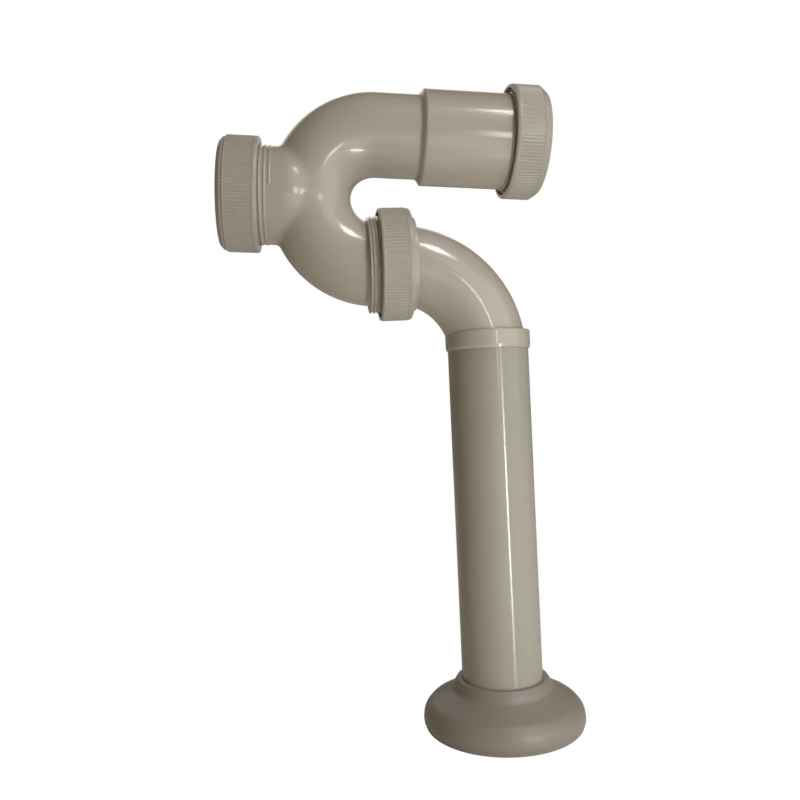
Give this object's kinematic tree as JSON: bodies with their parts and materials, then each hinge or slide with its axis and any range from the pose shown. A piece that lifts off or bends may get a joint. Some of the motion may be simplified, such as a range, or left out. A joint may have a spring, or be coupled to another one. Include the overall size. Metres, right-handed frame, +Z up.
{
  "type": "p trap",
  "caption": "P trap with a U bend, capped cleanout, ribbed slip nuts, outlet elbow, straight waste pipe and a dished wall flange.",
  "frame": {"origin": "centre of the wall flange's rim plane, on the axis of the waste pipe, where the pipe's open end also lies", "axes": "+Z runs up the waste pipe from the flange to the elbow; the two arms of the trap point along +X and the cleanout cap along -X, and both arms, elbow and cleanout lie in the XZ plane. Installed on a wall the part is turned so that the waste pipe runs level into the wall, the inlet faces up and the cleanout cap faces down."},
  "size_m": [0.1693, 0.0804, 0.3178],
  "materials": {
    "trap_plastic": "satin moulded plastic",
    "nut_plastic": "glossy ribbed plastic",
    "ring_plastic": "plain moulded plastic",
    "seal_rubber": "matte rubber",
    "pipe_plastic": "satin extruded plastic",
    "flange_plastic": "soft satin moulded plastic"
  },
  "bodies": {
    "outlet": {"wall_pipe": "pipe_plastic", "outlet_elbow": "trap_plastic"},
    "flange": {"wall_flange": "flange_plastic"},
    "union_nut": {"union_nut": "nut_plastic", "union_slip_ring": "ring_plastic"},
    "union_seal": {"union_seal": "seal_rubber"},
    "trap": {"trap_body": "trap_plastic"},
    "inlet_rings": {"inlet_seal": "seal_rubber", "inlet_slip_ring": "ring_plastic"},
    "inlet_nut": {"inlet_nut": "nut_plastic"},
    "cap_seal": {"cleanout_seal": "seal_rubber"},
    "cap": {"cleanout_cap": "nut_plastic"}
  },
  "joints": [
    {"name": "flange_slide", "type": "slide", "parent": "outlet", "child": "flange", "axis": [0, 0, 1], "range_m": [0, 0.16]},
    {"name": "union_nut_turn", "type": "hinge", "parent": "outlet", "child": "union_nut", "pos_m": [-0.046, 0, 0.23045], "axis": [1, 0, 0], "range_deg": [0, 2052]},
    {"name": "union_draw", "type": "slide", "parent": "outlet", "child": "union_seal", "axis": [-1, 0, 0], "range_m": [0, 0.0103]},
    {"name": "trap_swivel", "type": "hinge", "parent": "union_seal", "child": "trap", "pos_m": [-0.046, 0, 0.23045], "axis": [1, 0, 0], "range_deg": [-120, 120]},
    {"name": "inlet_ring_slide", "type": "slide", "parent": "trap", "child": "inlet_rings", "axis": [0.9981, 0, -0.061], "range_m": [0, 0.01039]},
    {"name": "inlet_nut_turn", "type": "hinge", "parent": "inlet_rings", "child": "inlet_nut", "pos_m": [0.02351, 0, 0.28981], "axis": [0.9981, 0, -0.061], "range_deg": [0, 1620]},
    {"name": "cap_seal_slide", "type": "slide", "parent": "trap", "child": "cap_seal", "axis": [-0.9981, 0, 0.061], "range_m": [0, 0.01443]},
    {"name": "cap_turn", "type": "hinge", "parent": "cap_seal", "child": "cap", "pos_m": [-0.11818, 0, 0.26642], "axis": [-0.9981, 0, 0.061], "range_deg": [0, 2250]}
  ],
  "couplings": [
    {"joint": "union_nut_turn", "follows": "union_draw", "rad_per_m": 3463.7},
    {"joint": "inlet_nut_turn", "follows": "inlet_ring_slide", "rad_per_m": 2721.2},
    {"joint": "cap_turn", "follows": "cap_seal_slide", "rad_per_m": 2721.2}
  ]
}
